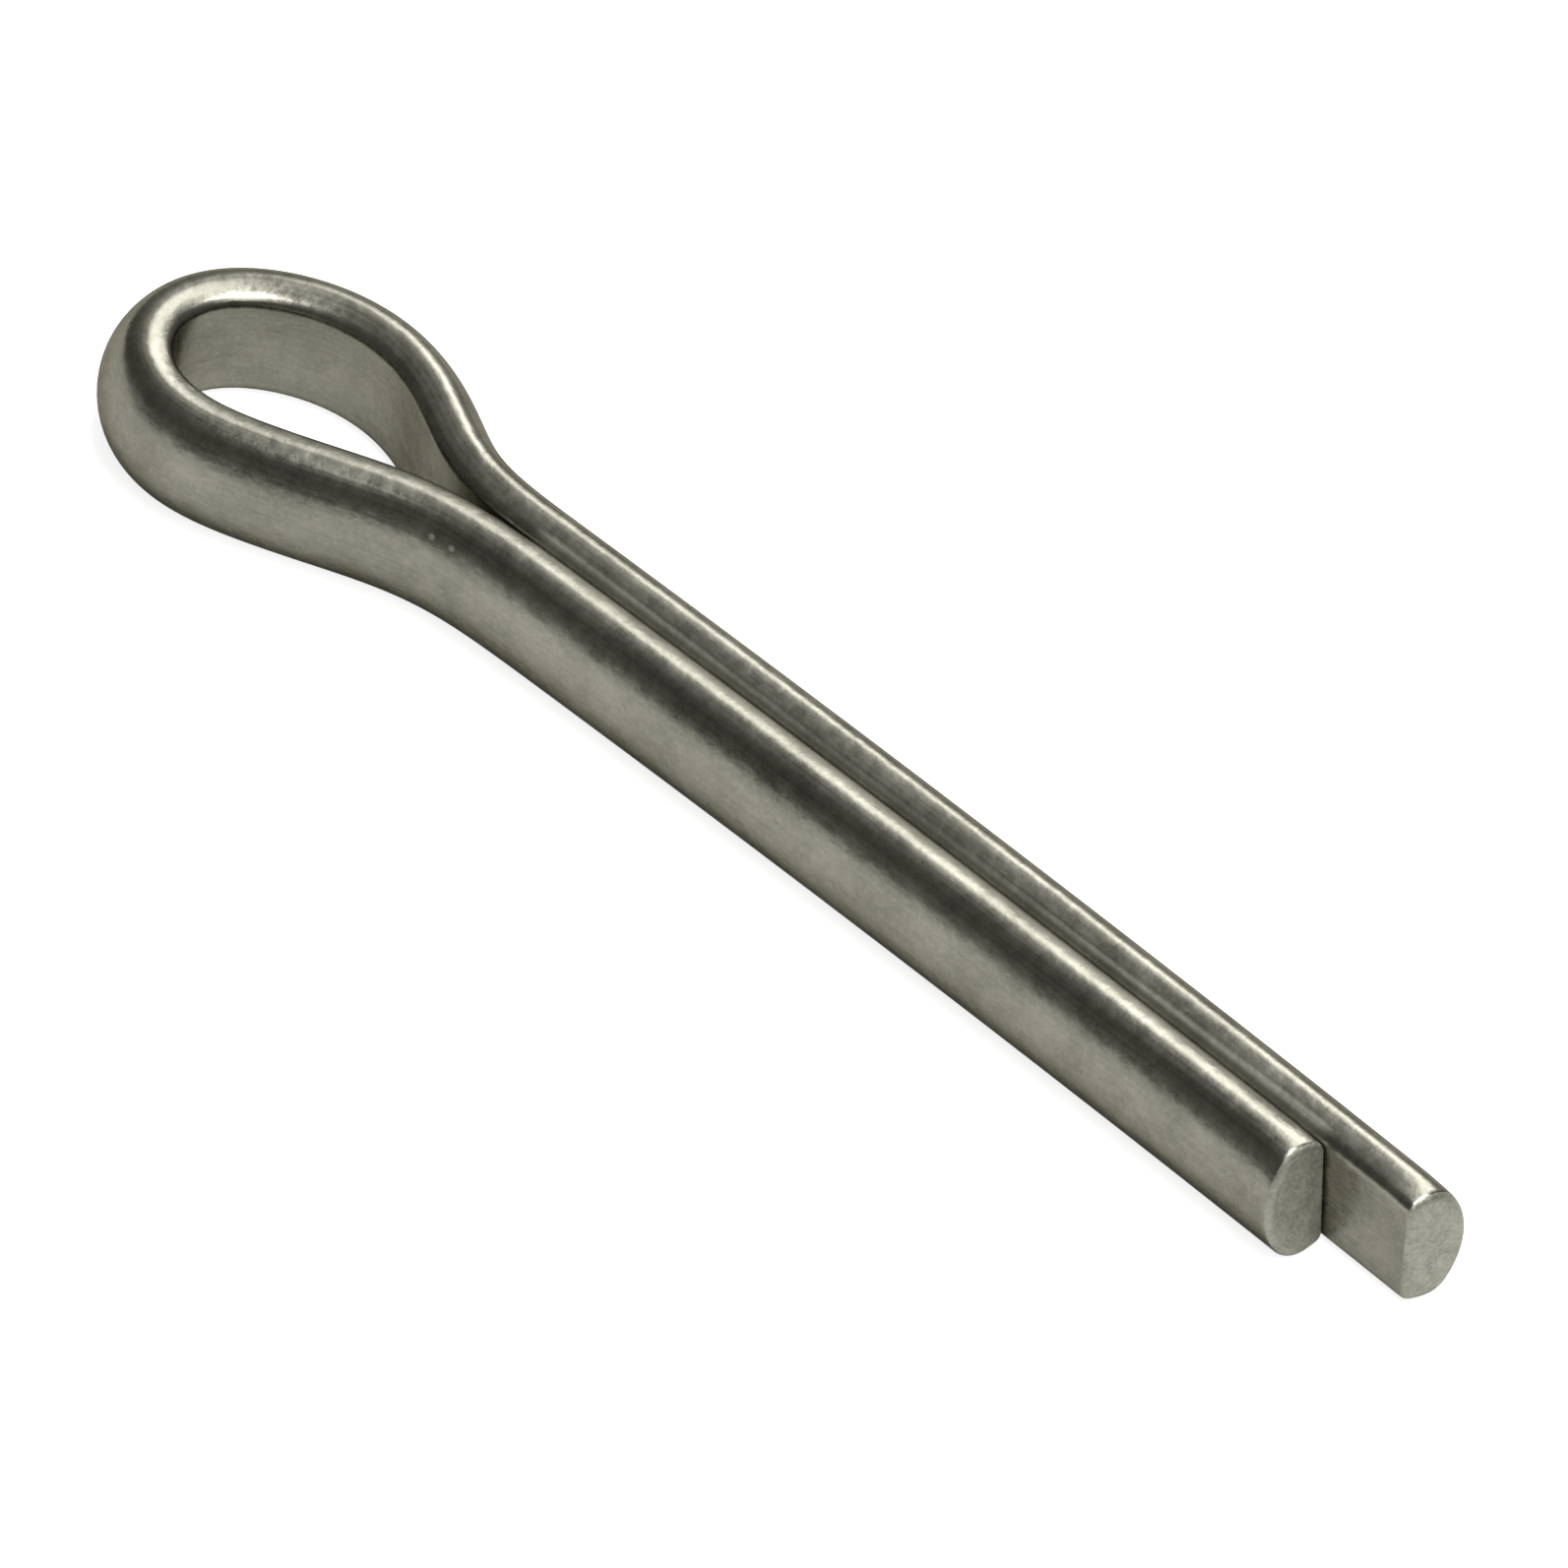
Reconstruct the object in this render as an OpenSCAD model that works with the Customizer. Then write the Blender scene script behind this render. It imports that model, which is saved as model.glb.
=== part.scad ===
// Split pin folded from one length of half-round steel wire.
//
// Millimetres. The eye lies in the XY plane and +X runs along the shank towards
// the prong tips. The origin is on the shank's axis, where both prongs run straight.

/* [Wire] */
// Diameter of the closed shank, over both prongs
shank_d = 4.4; // [3.8:0.1:6]
// Gap between the flats of the two prongs
slit = 0.1; // [0.05:0.01:0.3]
// Radius of the wire's two long corners
corner_r = 0.4; // [0.3:0.01:0.6]

/* [Prongs] */
// Length of the short prong's straight run, to its tip
short_prong = 33.5; // [12:0.1:60]
// How far the long prong reaches past the short one
prong_step = 3.9; // [2:0.1:8]
// Rounding of the sheared edge on the round side of a tip
tip_edge_r = 0.35; // [0.1:0.05:0.6]
// Rounding of the sheared edge on the flat side of a tip
tip_flat_r = 0.2; // [0.1:0.05:0.4]

/* [Eye: short prong's side] */
// Outside radius of the gentle bend that leaves the shank
near_neck_r = 9.1; // [5:0.1:13]
// Angle of that bend
near_neck_turn = 26; // [20:0.5:29]
// Inside radius of the long shallow bow after it
bow_r = 25; // [18:0.5:30]
// Angle of the bow
bow_turn = 12.5; // [10:0.5:15]

/* [Eye: round end] */
// Inside radius of the round end
crown_r = 2.05; // [1.8:0.05:2.6]
// Angle of the round end
crown_turn = 145.5; // [140:0.5:150]

/* [Eye: long prong's side] */
// Inside radius of the back
back_r = 5.5; // [4.5:0.1:7]
// Angle of the back
back_turn = 35; // [30:1:40]
// Inside radius of the shoulder
shoulder_r = 4.8; // [3.5:0.1:6]
// Outside radius of the bend that joins the shank
far_neck_r = 3; // [1:0.1:5]
// Angle of that bend
far_neck_turn = 31.5; // [28:0.5:34]

/* [Hidden] */
$fn = 96;

shank_r = shank_d / 2;
wire_t = shank_r - slit / 2;
long_prong = short_prong + prong_step;

// The bends are drawn a hair slimmer than the runs between them and lap into them,
// so that neighbours join as one solid.
bend_inset = 0.02;
lap = 0.12;

// Each long corner is a small circle at the flat and the round side. It is a hair
// larger than one that would touch them, so that it crosses both cleanly.
corner_over = 0.004;
corner_x = corner_r + slit / 2;
corner_z = sqrt(pow(shank_r - corner_r, 2) - pow(corner_x, 2));
corner_angle = atan2(corner_z, corner_x);
reach = 2 * shank_r;

// The flat's bend radii at the two necks, which curve around the round side.
near_flat_r = near_neck_r + wire_t;
far_flat_r = far_neck_r + wire_t;

// Headings around the eye, counted from the direction that leaves the shank.
near_heading = near_neck_turn;
bow_heading = near_heading - bow_turn;
crown_heading = bow_heading - crown_turn;
back_heading = crown_heading - back_turn;
far_heading = -180 - far_neck_turn;
shoulder_turn = back_heading - far_heading;

// How far a bend between two headings carries the wire sideways and along.
function side_of_bend(r, from, to) = r * (cos(to) - cos(from));
function run_of_bend(r, from, to) = r * (sin(from) - sin(to));

// The straight run before the far neck closes the eye onto the slit.
bends_side = side_of_bend(bow_r, near_heading, bow_heading)
    + side_of_bend(crown_r, bow_heading, crown_heading)
    + side_of_bend(back_r, crown_heading, back_heading)
    + side_of_bend(shoulder_r, back_heading, far_heading)
    - side_of_bend(near_flat_r, 0, near_heading)
    - side_of_bend(far_flat_r, far_heading, -180);
far_run = (-slit - bends_side) / sin(far_heading);

// Where the long prong's straight part begins.
bends_run = run_of_bend(bow_r, near_heading, bow_heading)
    + run_of_bend(crown_r, bow_heading, crown_heading)
    + run_of_bend(back_r, crown_heading, back_heading)
    + run_of_bend(shoulder_r, back_heading, far_heading)
    - run_of_bend(near_flat_r, 0, near_heading)
    - run_of_bend(far_flat_r, far_heading, -180);
far_start = -(bends_run + far_run * cos(far_heading));

// The wire's section, less an inset: x is the depth from the flat, y is the height.
module wire_section(inset = 0) {
    outer_x = reach * cos(corner_angle) - slit / 2;
    outer_z = reach * sin(corner_angle);
    intersection() {
        translate([-slit / 2, 0]) circle(r = shank_r - inset);
        polygon([
            [inset, corner_z],
            [corner_r, corner_z],
            [outer_x, outer_z],
            [2 * reach, 0],
            [outer_x, -outer_z],
            [corner_r, -corner_z],
            [inset, -corner_z]
        ]);
    }
    for (side = [-1, 1]) {
        translate([corner_r, side * corner_z]) circle(r = corner_r + corner_over - inset);
    }
}

// Wire bent around its flat side, from +X, reaching past both ends by the lap.
module bend_in(r, turn, inset = 0) {
    over = inset > 0 ? lap / r * 180 / PI : 0;
    translate([0, -r, 0]) rotate([0, 0, 90 - turn - over])
        rotate_extrude(angle = turn + 2 * over) translate([r, 0]) wire_section(inset);
}

// Wire bent around its round side in the same way.
module bend_out(r, turn, inset = 0) {
    over = inset > 0 ? lap / r * 180 / PI : 0;
    translate([0, r, 0]) rotate([0, 0, -90 - over])
        rotate_extrude(angle = turn + 2 * over)
        translate([r, 0]) mirror([1, 0]) wire_section(inset);
}

// Straight wire along +X, with its flat on y = 0.
module straight(length) {
    rotate([90, 0, 90]) linear_extrude(height = length) wire_section();
}

// What follows a run or a bend is placed at its end.
module after_straight(length) {
    translate([length, 0, 0]) children();
}

module after_bend_in(r, turn) {
    translate([r * sin(turn), r * (cos(turn) - 1), 0]) rotate([0, 0, -turn]) children();
}

module after_bend_out(r, turn) {
    translate([r * sin(turn), r * (1 - cos(turn)), 0]) rotate([0, 0, turn]) children();
}

// The long prong's side of the eye, from the end of the crown to the shank.
module eye_back() {
    bend_in(back_r, back_turn);
    after_bend_in(back_r, back_turn) {
        bend_in(shoulder_r, shoulder_turn, bend_inset);
        after_bend_in(shoulder_r, shoulder_turn) {
            straight(far_run);
            after_straight(far_run) bend_out(far_flat_r, far_neck_turn, bend_inset);
        }
    }
}

// The eye, from the short prong round to the start of the long one.
module eye() {
    translate([0, -slit / 2, 0]) rotate([0, 0, 180]) {
        bend_out(near_flat_r, near_neck_turn, bend_inset);
        after_bend_out(near_flat_r, near_neck_turn) {
            bend_in(bow_r, bow_turn);
            after_bend_in(bow_r, bow_turn) {
                bend_in(crown_r, crown_turn, bend_inset);
                after_bend_in(crown_r, crown_turn) eye_back();
            }
        }
    }
}

// What a tip's rounded edges leave: the shank's outline turned about its axis,
// and the flat's edge rounded in plan. Both end at x = length.
module tip_envelope(length, start) {
    rotate([0, 90, 0]) rotate_extrude() {
        translate([0, start]) square([shank_r, length - start - tip_edge_r]);
        translate([0, start]) square([shank_r - tip_edge_r, length - start]);
        translate([shank_r - tip_edge_r, length - tip_edge_r]) circle(r = tip_edge_r);
    }
}

module flat_edge_envelope(length, start) {
    translate([0, 0, -shank_r]) linear_extrude(height = shank_d) {
        translate([start, slit / 2]) square([length - start - tip_flat_r, reach]);
        translate([start, slit / 2 + tip_flat_r]) square([length - start, reach]);
        translate([length - tip_flat_r, slit / 2 + tip_flat_r]) circle(r = tip_flat_r);
    }
}

// A prong on the +Y side, from start to its tip at x = length.
module prong(length, start) {
    intersection() {
        translate([start, slit / 2, 0]) straight(length - start);
        tip_envelope(length, start);
        flat_edge_envelope(length, start);
    }
}

module cotter_pin() {
    color("#9a988c") {
        eye();
        mirror([0, 1, 0]) prong(short_prong, 0);
        prong(long_prong, far_start);
    }
}

cotter_pin();
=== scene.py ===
# Split pin folded from half-round steel wire, bright zinc plated, lying on a pale table.
import bpy
import bmesh
import math
import numpy as np
from mathutils import Matrix, Vector


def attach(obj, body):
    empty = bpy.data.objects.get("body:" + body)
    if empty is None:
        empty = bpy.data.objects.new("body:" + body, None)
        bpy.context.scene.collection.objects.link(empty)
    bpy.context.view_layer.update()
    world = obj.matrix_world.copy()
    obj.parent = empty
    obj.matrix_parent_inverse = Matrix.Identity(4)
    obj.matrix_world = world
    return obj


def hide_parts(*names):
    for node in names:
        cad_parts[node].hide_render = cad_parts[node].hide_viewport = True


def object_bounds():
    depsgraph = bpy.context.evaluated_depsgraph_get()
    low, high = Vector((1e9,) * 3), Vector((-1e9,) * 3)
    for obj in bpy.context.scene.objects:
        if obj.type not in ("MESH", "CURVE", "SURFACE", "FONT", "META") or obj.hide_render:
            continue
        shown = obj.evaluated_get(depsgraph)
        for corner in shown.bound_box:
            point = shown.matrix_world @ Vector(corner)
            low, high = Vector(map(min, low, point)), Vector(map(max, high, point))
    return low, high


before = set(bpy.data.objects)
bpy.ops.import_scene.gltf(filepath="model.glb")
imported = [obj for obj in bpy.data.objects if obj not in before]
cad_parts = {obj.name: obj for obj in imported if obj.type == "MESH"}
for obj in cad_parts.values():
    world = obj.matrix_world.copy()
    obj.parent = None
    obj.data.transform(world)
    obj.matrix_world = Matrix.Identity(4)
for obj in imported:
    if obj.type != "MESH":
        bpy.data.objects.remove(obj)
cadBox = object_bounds()
mm = 0.001


def srgb(hexColour):  # "#rrggbb" to linear RGBA
    parts = [int(hexColour[i:i + 2], 16) / 255 for i in (1, 3, 5)]
    return [p / 12.92 if p <= 0.04045 else ((p + 0.055) / 1.055) ** 2.4 for p in parts] + [1.0]


def addNode(tree, kind, links=None, settings=None, **sockets):
    # links are {input: output socket}, settings the node's own properties, sockets its constants;
    # i3=... sets input number 3
    node = tree.nodes.new(kind)
    for name, value in (settings or {}).items():
        setattr(node, name, value)
    for name, value in sockets.items():
        key = int(name[1:]) if name[0] == "i" and name[1:].isdigit() else name.replace("_", " ")
        node.inputs[key].default_value = value
    for name, source in (links or {}).items():
        tree.links.new(source, node.inputs[name])
    return node


def newMesh(name, verts, faces=(), edges=()):
    mesh = bpy.data.meshes.new(name)
    mesh.from_pydata([tuple(v) for v in verts], list(edges), list(faces))
    mesh.update()
    obj = bpy.data.objects.new(name, mesh)
    bpy.context.scene.collection.objects.link(obj)
    return obj


wire = {
    "thickness": 2.15,       # from the flat to the middle of the round side, mm
    "slit": 0.03,            # gap between the two flats, all but closed, mm
    "radii": (2.99, 0.873, 2.568, 0.404),   # round side, outer corner, top, inner corner, mm
    "handovers": (36.1, 98.0, 108.9),       # facing where one gives way to the next, degrees from straight out
    "blend": 3.4,            # how gradually, degrees
    "stretch": 1.01,         # the section's height over that of its four circles
    "facings": 91,           # points from the round side to the flat, one for each facing
    "flatPoints": (0.3, 0.6, 0.85),         # points on either half of the flat, as shares of its height
    "seam": 0.004,           # where the outline closes beside the flat's middle, as a share too
}

bends = {
    "nearNeck": (7.2, 25.6),   # outside radius in mm, turn in degrees: leaves the short prong
    "bow": (42, 8.4),          # the rest are inside radii
    "crown": (1.565, 153.7),
    "back": (9.09, 17.5),
    "shoulder": 4.45,          # turns as far as it takes to come round
    "farRun": (0, 10),         # a straight run between these lengths, as it comes out, mm
    "farNeck": (1.9, 44),      # outside radius again: joins the long prong
    "easing": 1.49,            # how gradually one bend runs into the next, mm
    "step": 0.02,              # spacing of the points that the bends are summed over, mm
}

prongs = {
    "shortReach": 33.95,       # from the foot of the near neck, mm
    "longReach": 37.74,
    "sag": 0.00133,            # slight bow of both prongs, 1/mm
    "turn": 1.153,             # sets the bowed prongs level with the X axis, degrees
    "shift": (-0.655, -0.03),  # puts the slit's mouth on the origin, mm
}

rings = {
    "lead": 7.68,              # straight run on either side of the eye that is ringed as closely as it, mm
    "eye": 0.16,               # spacing of the rings round the eye, mm
    "shank": 0.6,              # and along the straight prongs, mm
    "tipEdge": (0.42, 12),     # the rounded edge of a tip takes this many rings, over this length in mm
    "tip": (0.55, 0.72, 0.95, 1.25, 1.6, 2.0, 2.5),   # where the next ones stand, mm from the tip
}

tips = {
    # slant and lean: how much further the sheared face reaches per mm away from the flat, and per mm upwards
    "short": {"slant": -0.115, "lean": -0.12, "rollOver": 0.15, "edge": 0.3},
    "long": {"slant": 0.19, "lean": -0.06, "rollOver": 0.2, "edge": 0.3},
    "reach": 5,             # how far back from the face anything changes, mm
    "slantFade": 4,         # how far back the slant and the lean die out, mm
    "rollReach": 1.6,       # how far back from the face the top is dragged down by the shear, mm
    "rollAtFlat": 0.45,     # share of that which is left at the flat
    "tornEdge": 0.16,       # how far round the edge the torn, matt surface reaches, mm
    "flatEdge": 0.5,        # share of the edge rounding that the flat's own edge gets
    "sideways": 1.57,       # facing from which the rounding runs down to that share, radians
}


def headingProfile(farRun):
    # runs as (length, turn in degrees), from the short prong round the eye to the long one
    lead, step = rings["lead"], bends["step"]
    nearRadius = bends["nearNeck"][0] + wire["thickness"]
    farRadius = bends["farNeck"][0] + wire["thickness"]
    turns = [(nearRadius, bends["nearNeck"][1])]
    turns += [(bends[name][0], -bends[name][1]) for name in ("bow", "crown", "back")]
    turns.append((bends["shoulder"], -180 - bends["farNeck"][1] - sum(turn for radius, turn in turns)))
    runs = [(lead, 0)] + [(radius * math.radians(abs(turn)), turn) for radius, turn in turns]
    runs += [(farRun, 0), (farRadius * math.radians(bends["farNeck"][1]), bends["farNeck"][1]), (lead, 0)]
    along = np.cumsum([0] + [run[0] for run in runs])
    turned = np.cumsum([0] + [run[1] for run in runs])
    s = np.linspace(0, along[-1], int(math.ceil(along[-1] / step)) + 1)
    heading = np.interp(s, along, turned)
    width = int(4 * bends["easing"] / step)   # the bell of the easing dies out by then
    kernel = np.exp(-0.5 * (np.arange(-width, width + 1) * step / bends["easing"]) ** 2)
    padded = np.concatenate([np.full(width, heading[0]), heading, np.full(width, heading[-1])])
    heading = np.radians(180 + np.convolve(padded, kernel / kernel.sum(), mode="valid"))
    ds = s[1] - s[0]
    middle = (heading[1:] + heading[:-1]) / 2
    x = lead + np.concatenate([[0], np.cumsum(np.cos(middle)) * ds])
    y = -wire["slit"] / 2 + np.concatenate([[0], np.cumsum(np.sin(middle)) * ds])
    return x, y


def eyePath():
    # the straight run before the far neck is as long as it takes to land on the slit's other side
    low, high = bends["farRun"]
    for halving in range(40):
        middle = (low + high) / 2
        x, y = headingProfile(middle)
        if y[-1] > wire["slit"] / 2:
            low = middle
        else:
            high = middle
    return x, y


def tipDistances(length):
    # rings crowd towards the tip, where the sheared edge is rounded
    edge, count = rings["tipEdge"]
    close = [edge * (1 - math.cos(a)) for a in np.linspace(0, math.pi / 2, count)]
    further, step = list(rings["tip"]), rings["shank"]
    return np.array(close + further + list(np.arange(further[-1] + step, length - step / 2, step)))


def pathPoints():
    x, y = eyePath()
    every = max(1, int(round(rings["eye"] / bends["step"])))
    x, y = x[::every], y[::every]
    near = prongs["shortReach"] - tipDistances(prongs["shortReach"] - x[0])
    far = prongs["longReach"] - tipDistances(prongs["longReach"] - x[-1])[::-1]
    flat = [(v, y[0]) for v in near] + list(zip(x, y)) + [(v, y[-1]) for v in far]
    flat = np.array(flat)
    flat[:, 1] -= 0.5 * prongs["sag"] * np.maximum(flat[:, 0], 0) ** 2
    c, s = math.cos(math.radians(prongs["turn"])), math.sin(math.radians(prongs["turn"]))
    turned = np.stack([c * flat[:, 0] - s * flat[:, 1] + prongs["shift"][0],
                       s * flat[:, 0] + c * flat[:, 1] + prongs["shift"][1], np.zeros(len(flat))], 1)
    return turned * mm


def halfOutline():
    # which way the surface faces, with its depth from the flat and height, from the round side to the flat
    facing = np.radians(np.linspace(0, 180, wire["facings"]))
    middle = (facing[1:] + facing[:-1]) / 2
    radius = np.full(len(middle), wire["radii"][0])
    for angle, before, after in zip(wire["handovers"], wire["radii"], wire["radii"][1:]):
        past = (middle - math.radians(angle)) / math.radians(wire["blend"])
        radius += (after - before) / 2 * (1 + np.tanh(past))
    step = facing[1] - facing[0]
    depth = np.concatenate([[0], np.cumsum(-radius * np.sin(middle) * step)])
    height = np.concatenate([[0], np.cumsum(radius * np.cos(middle) * step)]) * wire["stretch"]
    depth = (depth - depth[-1]) * wire["thickness"] / (depth[0] - depth[-1])
    return facing, depth, height


def wireOutline():
    # closed outline from the middle of the flat, up, over and back, with the way each point faces
    facing, depth, height = halfOutline()
    up = [(0, height[-1] * k, math.pi) for k in (0, *wire["flatPoints"])]
    over = list(zip(depth[::-1], height[::-1], facing[::-1]))
    under = [(d, -h, -a) for d, h, a in zip(depth[1:], height[1:], facing[1:])]
    back = [(0, -height[-1] * k, -math.pi) for k in (*wire["flatPoints"][::-1], wire["seam"])]
    return np.array(up + over + under + back)


def sweepTree():
    # sweeps the section along the path and closes both ends
    tree = bpy.data.node_groups.new("bentWire", "GeometryNodeTree")
    face = tree.interface
    face.new_socket("Path", in_out="INPUT", socket_type="NodeSocketGeometry")
    section = face.new_socket("Section", in_out="INPUT", socket_type="NodeSocketObject")
    finish = face.new_socket("Finish", in_out="INPUT", socket_type="NodeSocketMaterial")
    face.new_socket("Wire", in_out="OUTPUT", socket_type="NodeSocketGeometry")
    start = addNode(tree, "NodeGroupInput")
    path = addNode(tree, "GeometryNodeMeshToCurve", {"Mesh": start.outputs["Path"]})
    upright = addNode(tree, "GeometryNodeSetCurveNormal", {"Curve": path.outputs["Curve"]}, {"mode": "Z_UP"})
    sectionMesh = addNode(tree, "GeometryNodeObjectInfo", {"Object": start.outputs["Section"]})
    outline = addNode(tree, "GeometryNodeMeshToCurve", {"Mesh": sectionMesh.outputs["Geometry"]})
    travel = addNode(tree, "GeometryNodeSplineParameter")
    travelled = addNode(tree, "GeometryNodeStoreNamedAttribute",
                        {"Geometry": upright.outputs["Curve"], "Value": travel.outputs["Length"]},
                        {"data_type": "FLOAT", "domain": "POINT"}, Name="along")
    around = addNode(tree, "GeometryNodeStoreNamedAttribute",
                     {"Geometry": outline.outputs["Curve"], "Value": travel.outputs["Length"]},
                     {"data_type": "FLOAT", "domain": "POINT"}, Name="around")
    swept = addNode(tree, "GeometryNodeCurveToMesh",
                    {"Curve": travelled.outputs["Geometry"], "Profile Curve": around.outputs["Geometry"]},
                    Fill_Caps=True)
    whole = addNode(tree, "GeometryNodeRealizeInstances", {"Geometry": swept.outputs["Mesh"]})
    plated = addNode(tree, "GeometryNodeSetMaterial",
                     {"Geometry": whole.outputs["Geometry"], "Material": start.outputs["Finish"]})
    end = addNode(tree, "NodeGroupOutput")
    tree.links.new(plated.outputs["Geometry"], end.inputs["Wire"])
    return tree, section.identifier, finish.identifier


def meshFrom(obj, tree, values, name):
    # runs the tree on obj and keeps the result as a plain mesh
    modifier = obj.modifiers.new(name, "NODES")
    modifier.node_group = tree
    for identifier, value in values.items():
        modifier[identifier] = value
    obj.update_tag()
    graph = bpy.context.evaluated_depsgraph_get()
    mesh = bpy.data.meshes.new_from_object(obj.evaluated_get(graph))
    obj.modifiers.remove(modifier)
    made = bpy.data.objects.new(name, mesh)
    bpy.context.scene.collection.objects.link(made)
    return made


def shapeTips(mesh, path, outline):
    # shears, rolls over and rounds both ends of the swept wire
    count = len(mesh.vertices)
    place = np.empty(count * 3)
    mesh.vertices.foreach_get("co", place)
    place = place.reshape(-1, 3) / mm
    along = np.empty(count)
    mesh.attributes["along"].data.foreach_get("value", along)
    along = along / mm
    travelled = np.concatenate([[0], np.cumsum(np.linalg.norm(np.diff(path, axis=0), axis=1))])
    ends = (("short", along, path[0] - path[1], 1), ("long", along.max() - along, path[-1] - path[-2], -1))
    for name, distance, ahead, hand in ends:
        tip = tips[name]
        ahead = ahead / np.linalg.norm(ahead)
        outwards = np.array([ahead[1], -ahead[0], 0]) * hand
        near = distance < tips["reach"]
        d = distance[near]
        centre = np.stack([np.interp(along[near], travelled, path[:, k]) for k in range(3)], 1)
        depth, height = (place[near] - centre) @ outwards, place[near][:, 2]
        apart = (depth[:, None] - outline[:, 0]) ** 2 + (height[:, None] - outline[:, 1]) ** 2
        facing = outline[np.argmin(apart, axis=1), 2]
        towardsFlat = np.clip(np.abs(facing) / tips["sideways"] - 1, 0, 1)
        edge = tip["edge"] * (1 - (1 - tips["flatEdge"]) * towardsFlat)
        bite = np.clip(1 - d / edge, 0, 1)
        inset = edge * (1 - np.sqrt(1 - bite ** 2))
        rolled = np.clip(1 - d / tips["rollReach"], 0, 1) ** 2
        outwardShare = tips["rollAtFlat"] + (1 - tips["rollAtFlat"]) * depth / wire["thickness"]
        top = np.clip(height / height.max(), 0, 1) ** 2 * outwardShare
        push = tip["slant"] * (depth - wire["thickness"] / 2) + tip["lean"] * height
        push *= np.clip(1 - d / tips["slantFade"], 0, 1)
        move = -inset[:, None] * np.cos(facing)[:, None] * outwards + push[:, None] * ahead
        move[:, 2] -= inset * np.sin(facing) + tip["rollOver"] * rolled * top
        place[near] += move
    mesh.vertices.foreach_set("co", (place * mm).ravel())
    mesh.update()


zincLook = {
    "dark": "#88867b",          # the plating's tone runs between these two
    "light": "#aaa89c",
    "edge": "#b4b1a8",          # at grazing angles, well short of white
    "clouds": (2.2, 0.45),      # sizes of the broad and of the small cloudy patches, mm
    "specks": 0.16,             # mm
    "speckEdges": (0.45, 0.75),  # from bare to full between these heights of the noise
    "lines": (9, 0.11),         # length and width of the faint draw lines, coarser than real ones to show, mm
    "tone": (0.6, 0.35, 0.6),   # shares of broad clouds, small clouds, and specks with lines in it
    "toneStart": -0.1,
    "roughness": (0.24, 0.33),
    "slitRoughness": 0.5,       # the plating is dull along the closed slit
    "slitReach": (0.3, 0.6),    # how far from its middle that holds, and ends, mm
    "slitStart": (-0.5, 1),     # along X, mm
    "slitEnd": (32.6, 33.9),
    "nicks": ((-1.72, -1.99, 1.51), (-0.99, -1.90, 1.51)),   # two small knocks outside the near neck, dented and dull, coloured paler as a painted glint, mm
    "nickSize": (0.04, 0.15),   # bare to here, and ends here, mm
    "nickDepth": 0.005,
    "nickRoughness": 0.8,
    "dents": 0.0065,            # depth of the small cloudy patches, mm
    "relief": (1.5, 0.06),      # depth of the broad clouds, and of lines with specks, as shares of that
}

shearLook = {
    "dark": "#9f9e92",          # a little paler than the drawn surface, since it is torn
    "light": "#c9c8bc",
    "grain": (0.5, 0.13),       # mm
    "roughness": 0.55,
    "depth": 0.014,             # of the grain, mm
}


def spread(tree, source, edges, values):
    # values over the range between the edges, held beyond them
    ranged = addNode(tree, "ShaderNodeMapRange", {"Value": source}, From_Min=edges[0], From_Max=edges[1],
                     To_Min=values[0], To_Max=values[1])
    return ranged.outputs["Result"]


def grainy(tree, vector, size, edges=(0.3, 0.7), detail=3):
    # noise with patches of a size in mm, from 0 at the first edge to 1 at the second
    noise = addNode(tree, "ShaderNodeTexNoise", {"Vector": vector}, Scale=1 / (size * mm), Detail=detail)
    return spread(tree, noise.outputs[0], edges, (0, 1))


def combined(tree, operation, *sources):
    # adds, multiplies or takes the greatest of the sources
    total = sources[0]
    for source in sources[1:]:
        total = addNode(tree, "ShaderNodeMath", {0: total, 1: source}, {"operation": operation}).outputs[0]
    return total


def average(tree, first, second, values=(0, 1)):
    # runs over the values with the mean of two sources that run from 0 to 1
    return spread(tree, combined(tree, "ADD", first, second), (0, 2), values)


def scaled(tree, source, share, start=0):
    # from start, adds the share of a source that runs from 0 to 1
    return spread(tree, source, (0, 1), (start, start + share))


def metal(name, edgeTint=None):
    mat = bpy.data.materials.new(name)
    mat.use_nodes = True
    shader = mat.node_tree.nodes["Principled BSDF"]
    shader.inputs["Metallic"].default_value = 1.0
    if edgeTint:
        shader.inputs["Specular Tint"].default_value = srgb(edgeTint)
    return mat, mat.node_tree, shader


def toneAndRelief(tree, shader, tone, look, relief, depth):
    # runs the colour from dark to light with the tone, and dents the surface with the relief
    colour = addNode(tree, "ShaderNodeMix", {0: tone}, {"data_type": "RGBA"}, i6=srgb(look["dark"]),
                     i7=srgb(look["light"]))
    tree.links.new(colour.outputs[2], shader.inputs["Base Color"])
    bump = addNode(tree, "ShaderNodeBump", {"Height": relief}, Strength=1.0, Distance=depth * mm)
    tree.links.new(bump.outputs["Normal"], shader.inputs["Normal"])


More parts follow.
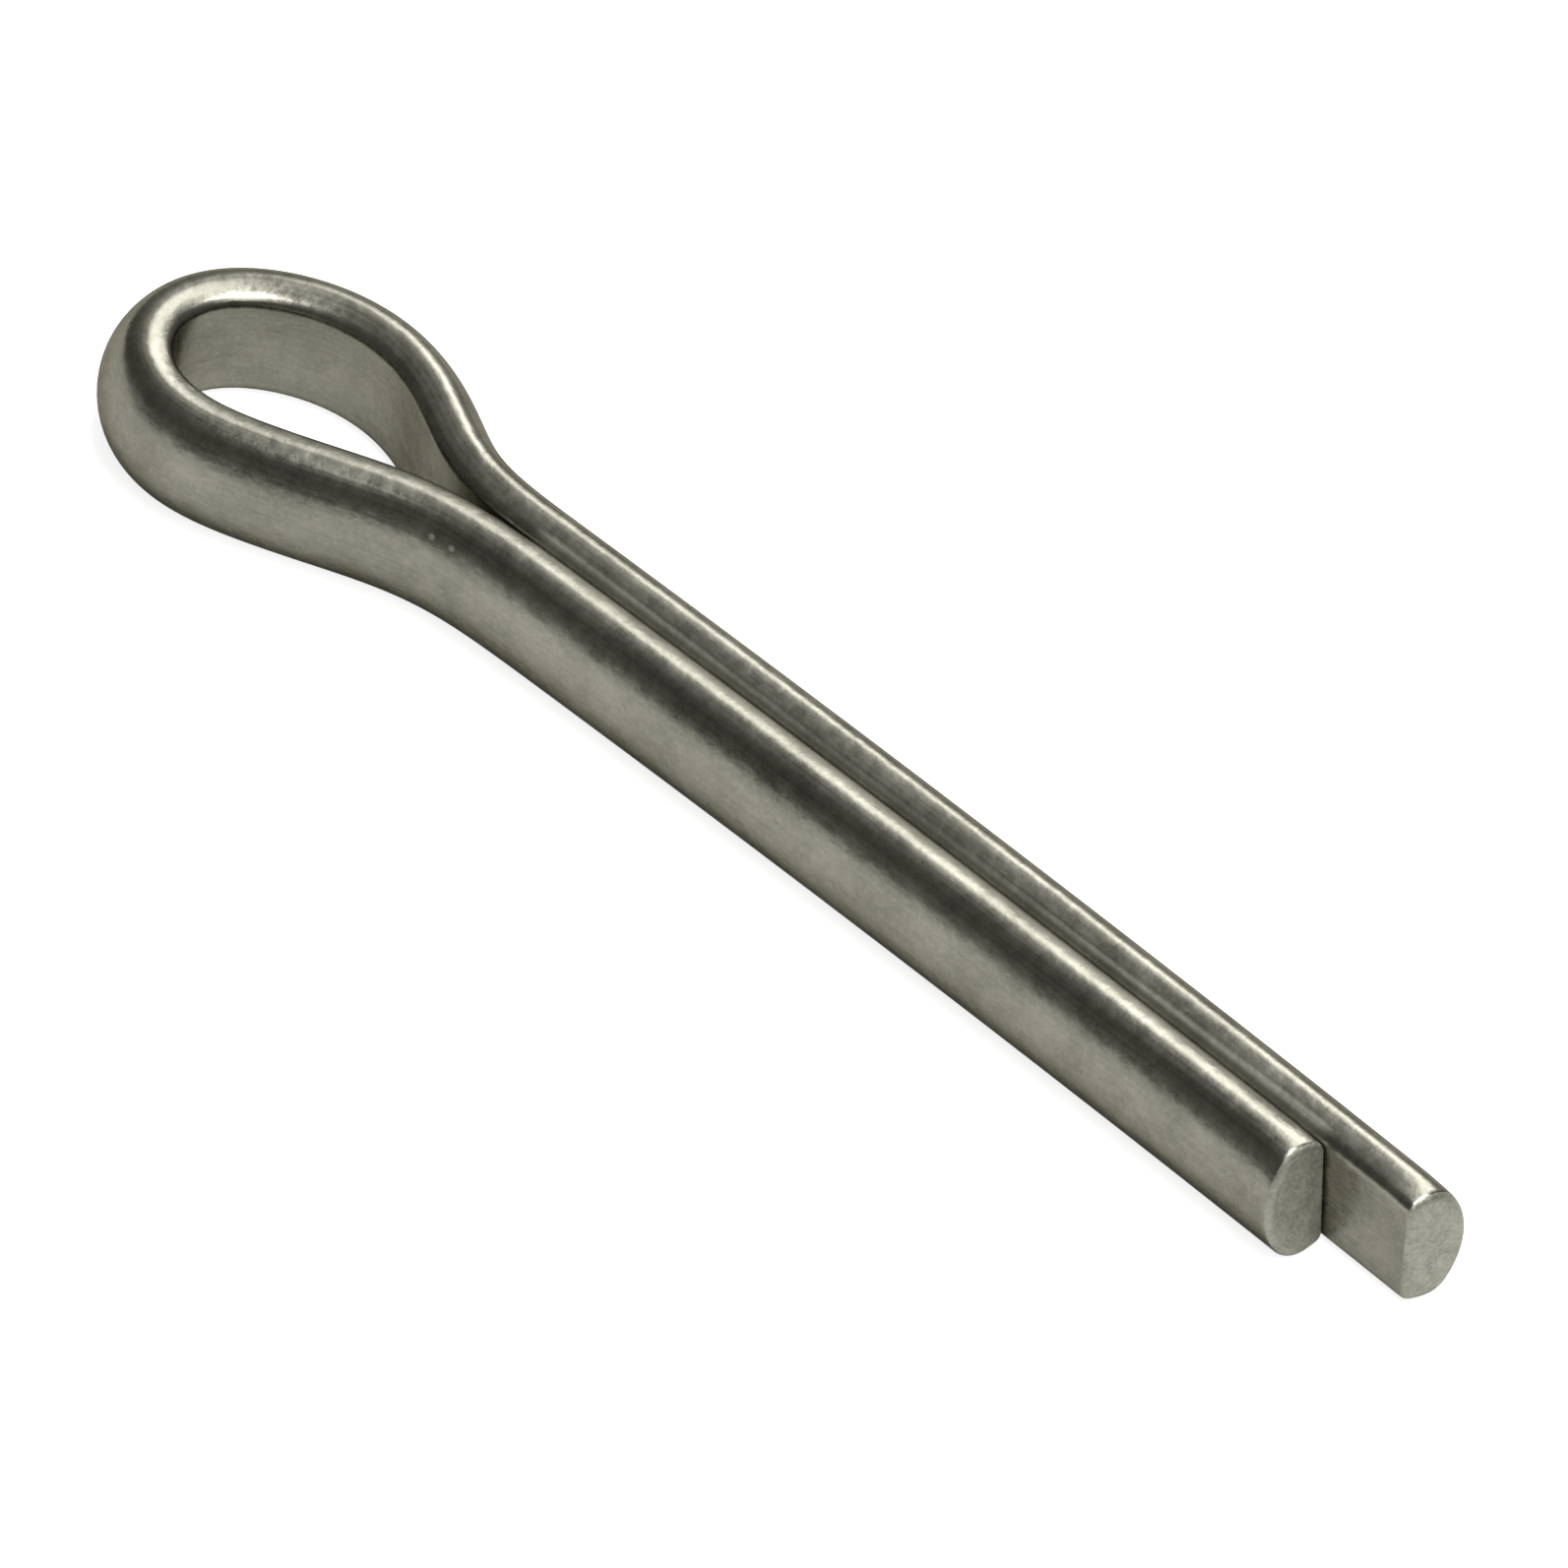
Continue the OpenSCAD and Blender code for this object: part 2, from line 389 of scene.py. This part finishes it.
def brightZinc():
    # bright zinc over drawn steel wire: the eye gets a soft, slightly cloudy mirror of the lamps and the board,
    # with faint draw lines, small specks and a duller strip along the slit
    look = zincLook
    mat, tree, shader = metal("brightZincPlate", look["edge"])
    place = addNode(tree, "ShaderNodeTexCoord").outputs["Object"]
    broad = grainy(tree, place, look["clouds"][0])
    small = grainy(tree, place, look["clouds"][1])
    specks = grainy(tree, place, look["specks"], look["speckEdges"], detail=1)
    along = addNode(tree, "ShaderNodeAttribute", settings={"attribute_name": "along"})
    around = addNode(tree, "ShaderNodeAttribute", settings={"attribute_name": "around"})
    squeezed = addNode(tree, "ShaderNodeMath", {0: along.outputs["Fac"]}, {"operation": "MULTIPLY"},
                       i1=look["lines"][1] / look["lines"][0])
    unrolled = addNode(tree, "ShaderNodeCombineXYZ", {"X": squeezed.outputs[0], "Y": around.outputs["Fac"]})
    lines = grainy(tree, unrolled.outputs[0], look["lines"][1], detail=2)
    fine = average(tree, specks, lines)

    nicks = []
    for spot in look["nicks"]:
        away = addNode(tree, "ShaderNodeVectorMath", {0: place}, {"operation": "DISTANCE"}, i1=Vector(spot) * mm)
        nicks.append(spread(tree, away.outputs["Value"], [v * mm for v in look["nickSize"]], (1, 0)))
    nicksAndPaintedGlint = combined(tree, "ADD", *nicks)

    axes = addNode(tree, "ShaderNodeSeparateXYZ", {0: place})
    aside = addNode(tree, "ShaderNodeMath", {0: axes.outputs["Y"]}, {"operation": "ABSOLUTE"}).outputs[0]
    inSlit = combined(tree, "MULTIPLY", spread(tree, aside, [v * mm for v in look["slitReach"]], (1, 0)),
                      spread(tree, axes.outputs["X"], [v * mm for v in look["slitStart"]], (0, 1)),
                      spread(tree, axes.outputs["X"], [v * mm for v in look["slitEnd"]], (1, 0)))
    soft = average(tree, small, lines, look["roughness"])
    roughness = combined(tree, "MAXIMUM", scaled(tree, inSlit, look["slitRoughness"]),
                         scaled(tree, nicksAndPaintedGlint, look["nickRoughness"]), soft)
    tree.links.new(roughness, shader.inputs["Roughness"])

    # the nicks push the tone up to the light colour: a painted glint on top of their real dent and dullness
    tone = combined(tree, "ADD", scaled(tree, broad, look["tone"][0], look["toneStart"]),
                    scaled(tree, small, look["tone"][1]), nicksAndPaintedGlint, scaled(tree, fine, look["tone"][2]))
    relief = combined(tree, "ADD", scaled(tree, broad, look["relief"][0]), small,
                      scaled(tree, nicksAndPaintedGlint, -look["nickDepth"] / look["dents"]),
                      scaled(tree, fine, look["relief"][1]))
    toneAndRelief(tree, shader, tone, look, relief, look["dents"])
    return mat


def shearedZinc():
    # zinc over the torn face of a sheared end: the eye gets a matt, grainy grey without a clear reflection
    look = shearLook
    mat, tree, shader = metal("shearedZincPlate")
    shader.inputs["Roughness"].default_value = look["roughness"]
    place = addNode(tree, "ShaderNodeTexCoord").outputs["Object"]
    coarse = grainy(tree, place, look["grain"][0])
    fine = grainy(tree, place, look["grain"][1], detail=1)
    torn = average(tree, coarse, fine)
    toneAndRelief(tree, shader, torn, look, torn, look["depth"])
    return mat


points = pathPoints()
path = newMesh("wirePath", points, edges=[(i, i + 1) for i in range(len(points) - 1)])
outline = wireOutline()
corners = np.stack([-outline[:, 0], outline[:, 1], np.zeros(len(outline))], 1) * mm
section = newMesh("wireSection", corners, edges=[(i, (i + 1) % len(corners)) for i in range(len(corners))])
zinc, sheared = brightZinc(), shearedZinc()
tree, sectionInput, finishInput = sweepTree()
pin = meshFrom(path, tree, {sectionInput: section, finishInput: zinc}, "splitPin")
bpy.data.objects.remove(path)
bpy.data.objects.remove(section)
print("wire swept:", len(pin.data.vertices), "points")

shapeTips(pin.data, points / mm, outline)
bm = bmesh.new()
bm.from_mesh(pin.data)
bmesh.ops.recalc_face_normals(bm, faces=bm.faces)
bm.to_mesh(pin.data)
bm.free()
pin.data.materials.append(sheared)
travelled = np.empty(len(pin.data.vertices))
pin.data.attributes["along"].data.foreach_get("value", travelled)
fromEnd = np.minimum(travelled, travelled.max() - travelled) / mm
for face in pin.data.polygons:
    inwards = fromEnd[list(face.vertices)].min()
    face.use_smooth = len(face.vertices) == 4
    face.material_index = 1 if len(face.vertices) > 4 or inwards < tips["tornEdge"] else 0
pin.data.update()
print("tips shaped")

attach(pin, "root")
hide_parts("cotter_pin")

studio = {
    "floor": "#e9e9e7",
    "floorSize": 1.2,           # half its side, m
    "floorRoughness": 0.9,
    "floorLift": (0.82, 0.12),  # share of white that the floor adds for the camera, and in reflections
    "room": 0.085,              # dim room above the table
    "roomTint": (1, 1, 0.95, 1),
    "glow": 0.42,               # wall and ceiling lit up round the back softbox
    "glowFrom": (-0.40, 0.74, 0.54),
    "glowFocus": 8,             # the greater, the narrower
    "lampDistance": 0.6,        # from the middle of the pin, m
    "lampAim": (0.011, 0, 0),
    "paintedShadeReach": 3.5,             # how far from the pin a painted contact shade darkens the board in its reflections, mm
}

floorHeight = cadBox[0].z
side = studio["floorSize"]
floor = newMesh("table", [(-side, -side, floorHeight), (side, -side, floorHeight), (side, side, floorHeight),
                          (-side, side, floorHeight)], faces=[(0, 1, 2, 3)])


def paleTable():
    # matt white board, shown as white to the camera and, a little greyer, to the metal, with painted shade near
    # the pin in that reflection
    mat = bpy.data.materials.new("mattWhiteBoard")
    mat.use_nodes = True
    tree = mat.node_tree
    shader = tree.nodes["Principled BSDF"]
    shader.inputs["Base Color"].default_value = srgb(studio["floor"])
    shader.inputs["Roughness"].default_value = studio["floorRoughness"]
    shader.inputs["Specular IOR Level"].default_value = 0.0
    shader.inputs["Emission Color"].default_value = srgb("#ffffff")
    rays = addNode(tree, "ShaderNodeLightPath")
    seen = addNode(tree, "ShaderNodeMath", {0: rays.outputs["Is Camera Ray"]}, {"operation": "MULTIPLY"},
                   i1=studio["floorLift"][0])
    mirrored = combined(tree, "MAXIMUM", rays.outputs["Is Glossy Ray"], rays.outputs["Is Transmission Ray"])
    # ambient occlusion paints shade onto the board's glow near the pin, as the metal sees it
    paintedShadeAO = addNode(tree, "ShaderNodeAmbientOcclusion", settings={"samples": 8}, Distance=studio["paintedShadeReach"] * mm)
    glossyLiftWithPaintedShade = combined(tree, "MULTIPLY", mirrored, paintedShadeAO.outputs["AO"])
    lift = addNode(tree, "ShaderNodeMath", {0: glossyLiftWithPaintedShade, 2: seen.outputs[0]},
                   {"operation": "MULTIPLY_ADD"}, i1=studio["floorLift"][1])
    tree.links.new(lift.outputs[0], shader.inputs["Emission Strength"])
    return mat


floor.data.materials.append(paleTable())

world = bpy.context.scene.world or bpy.data.worlds.new("studio")
bpy.context.scene.world = world
world.use_nodes = True
background = world.node_tree.nodes["Background"]
background.inputs["Color"].default_value = studio["roomTint"]
outward = addNode(world.node_tree, "ShaderNodeTexCoord")
towards = addNode(world.node_tree, "ShaderNodeVectorMath", {0: outward.outputs["Generated"]},
                  {"operation": "DOT_PRODUCT"}, i1=Vector(studio["glowFrom"]).normalized())
ahead = addNode(world.node_tree, "ShaderNodeMath", {0: towards.outputs["Value"]}, {"operation": "MAXIMUM"}, i1=0.0)
fading = addNode(world.node_tree, "ShaderNodeMath", {0: ahead.outputs[0]}, {"operation": "POWER"},
                 i1=studio["glowFocus"])
room = addNode(world.node_tree, "ShaderNodeMath", {0: fading.outputs[0]}, {"operation": "MULTIPLY_ADD"},
               i1=studio["glow"], i2=studio["room"])
world.node_tree.links.new(room.outputs[0], background.inputs["Strength"])

lamps = {
    # direction from the pin, width and height in degrees, brightness as a share of white
    "backSoftbox": ((-0.40, 0.73, 0.55), (17, 15), 2.5),
    "backStrip": ((-0.20, 0.61, 0.77), (15, 44), 3.0),
    "overhead": ((0.18, 0.05, 0.98), (28, 26), 7.0),
    "frontSoftbox": ((0.46, -0.26, 0.85), (24, 36), 2.6),
}
reach = studio["lampDistance"]
for name, (direction, (wide, high), brightness) in lamps.items():
    direction = Vector(direction).normalized()
    data = bpy.data.lights.new(name, "AREA")
    data.shape = "RECTANGLE"
    data.size = 2 * reach * math.tan(math.radians(wide / 2))
    data.size_y = 2 * reach * math.tan(math.radians(high / 2))
    data.energy = brightness * math.pi * data.size * data.size_y
    lamp = bpy.data.objects.new(name, data)
    bpy.context.scene.collection.objects.link(lamp)
    lamp.location = Vector(studio["lampAim"]) + direction * reach
    lamp.rotation_mode = "QUATERNION"
    lamp.rotation_quaternion = (-direction).to_track_quat("-Z", "Y")
print("studio lit")

camera = {
    "turn": 36.97,             # degrees round the pin
    "height": 46.35,           # degrees above the table
    "roll": 8.63,
    "distance": 2.0,           # m
    "span": 46.757,            # width of the frame at the pin, mm
    "aim": (13.72, 0.27, 0),   # a point on the pin, mm
    "aside": (2.04, -1.06),    # how far right of and above the frame's middle it shows, mm
}
turn, height, roll = (math.radians(camera[k]) for k in ("turn", "height", "roll"))
back = Vector((math.sin(turn) * math.cos(height), -math.cos(turn) * math.cos(height), math.sin(height)))
right = Vector((math.cos(turn), math.sin(turn), 0))
up = back.cross(right)
right, up = (right * math.cos(roll) + up * math.sin(roll)), (up * math.cos(roll) - right * math.sin(roll))
view = bpy.data.cameras.new("camera")
view.sensor_width = 36
view.lens = view.sensor_width * camera["distance"] / (camera["span"] * mm)
view.clip_start, view.clip_end = 0.1, 10
eye = bpy.data.objects.new("camera", view)
bpy.context.scene.collection.objects.link(eye)
eye.matrix_world = Matrix((
    (right.x, up.x, back.x, 0), (right.y, up.y, back.y, 0), (right.z, up.z, back.z, 0), (0, 0, 0, 1)))
offset = right * camera["aside"][0] + up * camera["aside"][1]
eye.location = (Vector(camera["aim"]) - offset) * mm + back * camera["distance"]
bpy.context.scene.camera = eye
bpy.context.scene.view_settings.view_transform = "Standard"
